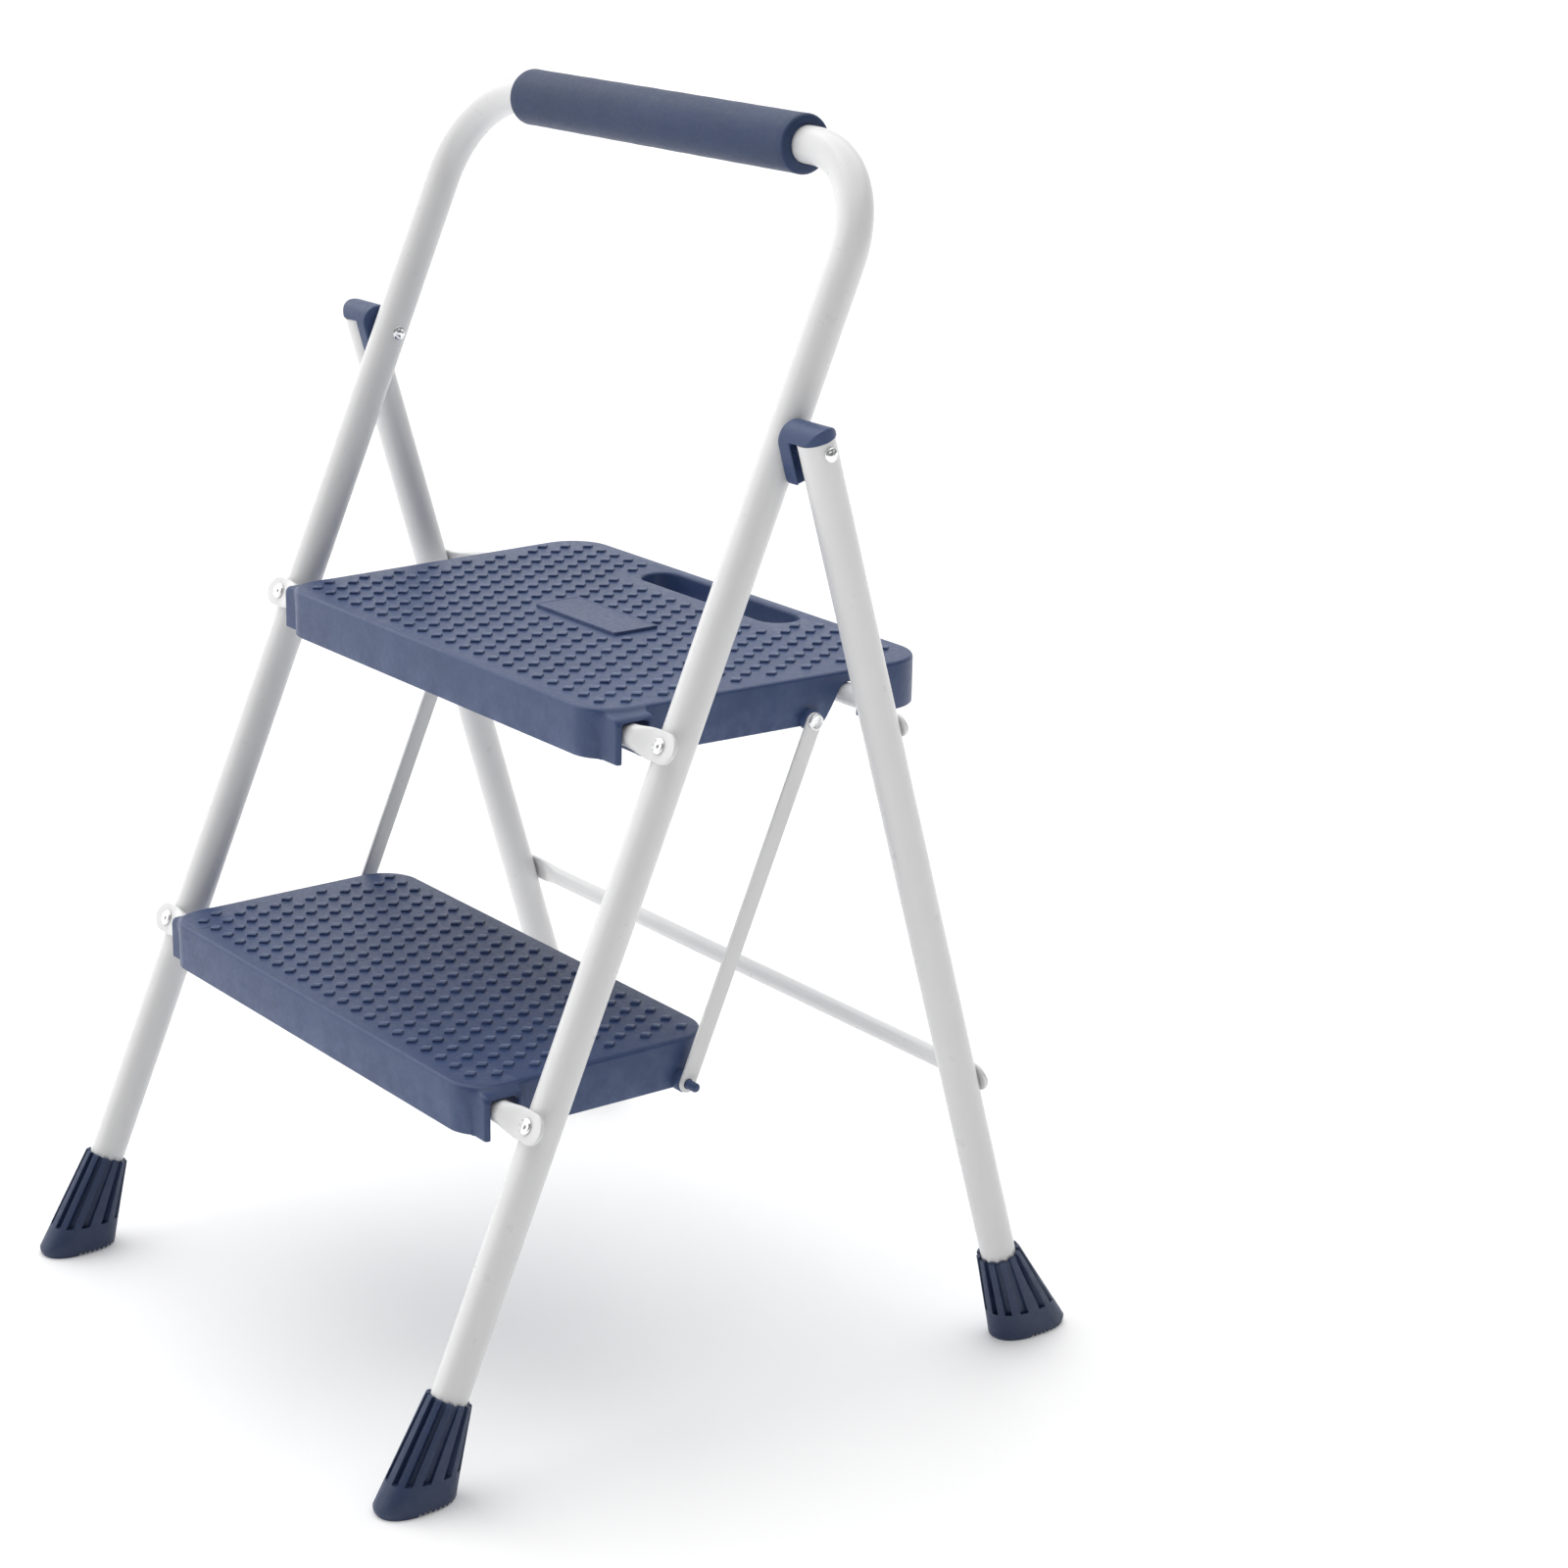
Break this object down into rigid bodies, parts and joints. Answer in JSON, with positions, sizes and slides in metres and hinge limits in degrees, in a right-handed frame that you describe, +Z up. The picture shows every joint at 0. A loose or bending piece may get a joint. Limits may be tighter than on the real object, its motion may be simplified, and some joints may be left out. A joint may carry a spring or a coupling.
{
  "type": "step stool",
  "caption": "Folding step stool: bent-tube front frame with a foam handle, hinged rear frame, and wide moulded treads on a parallel linkage.",
  "frame": {"origin": "on the floor, under the middle of the opened stool", "axes": "+Z up, +Y from the climbing side towards the rear legs, +X to the right of someone climbing it"},
  "size_m": [0.5848, 0.5523, 0.8589],
  "materials": {
    "white_paint": "smooth white powder coat",
    "tread_plastic": "fine satin moulded texture",
    "foot_plastic": "matt, slightly soft",
    "foam": "closed-cell foam sleeve",
    "bright_metal": "bright plated"
  },
  "bodies": {
    "front_frame": {"front_frame_tube": "white_paint", "handle_grip": "foam", "front_foot_left": "foot_plastic", "front_foot_right": "foot_plastic", "top_step_tube": "white_paint", "bottom_step_tube": "white_paint", "top_step_rivet_left": "bright_metal", "top_step_rivet_right": "bright_metal", "bottom_step_rivet_left": "bright_metal", "bottom_step_rivet_right": "bright_metal"},
    "rear_frame": {"rear_leg_left": "white_paint", "rear_leg_right": "white_paint", "hinge_cap_left": "tread_plastic", "hinge_cap_right": "tread_plastic", "hinge_rivet_left": "bright_metal", "hinge_rivet_right": "bright_metal", "rear_top_crossbar": "white_paint", "rear_bottom_crossbar": "white_paint", "rear_top_rivet_left": "bright_metal", "rear_top_rivet_right": "bright_metal", "rear_bottom_rivet_left": "bright_metal", "rear_bottom_rivet_right": "bright_metal", "rear_foot_left": "foot_plastic", "rear_foot_right": "foot_plastic", "foot_screw_left": "bright_metal", "foot_screw_right": "bright_metal"},
    "top_step": {"top_step": "tread_plastic", "tread_plate": "tread_plastic", "link_rivet_left": "bright_metal", "link_rivet_right": "bright_metal"},
    "bottom_step": {"bottom_step": "tread_plastic"},
    "link_bars": {"link_bar_left": "white_paint", "link_bar_right": "white_paint"}
  },
  "joints": [
    {"name": "top_step_fold", "type": "hinge", "parent": "front_frame", "child": "top_step", "pos_m": [0, -0.05938, 0.47852], "axis": [1, 0, 0], "range_deg": [0, 66.4]},
    {"name": "bottom_step_fold", "type": "hinge", "parent": "front_frame", "child": "bottom_step", "pos_m": [0, -0.16095, 0.24266], "axis": [1, 0, 0], "range_deg": [0, 66.41]},
    {"name": "link_fold", "type": "hinge", "parent": "top_step", "child": "link_bars", "pos_m": [0, 0.08622, 0.46512], "axis": [1, 0, 0], "range_deg": [-66.41, 0]},
    {"name": "rear_frame_fold", "type": "hinge", "parent": "front_frame", "child": "rear_frame", "pos_m": [0, 0.0364, 0.6645], "axis": [1, 0, 0], "range_deg": [-38.04, 0]}
  ],
  "couplings": [
    {"joint": "bottom_step_fold", "follows": "top_step_fold", "ratio": 1},
    {"joint": "link_fold", "follows": "top_step_fold", "ratio": -1},
    {"joint": "rear_frame_fold", "follows": "top_step_fold", "ratio": -0.57271}
  ]
}
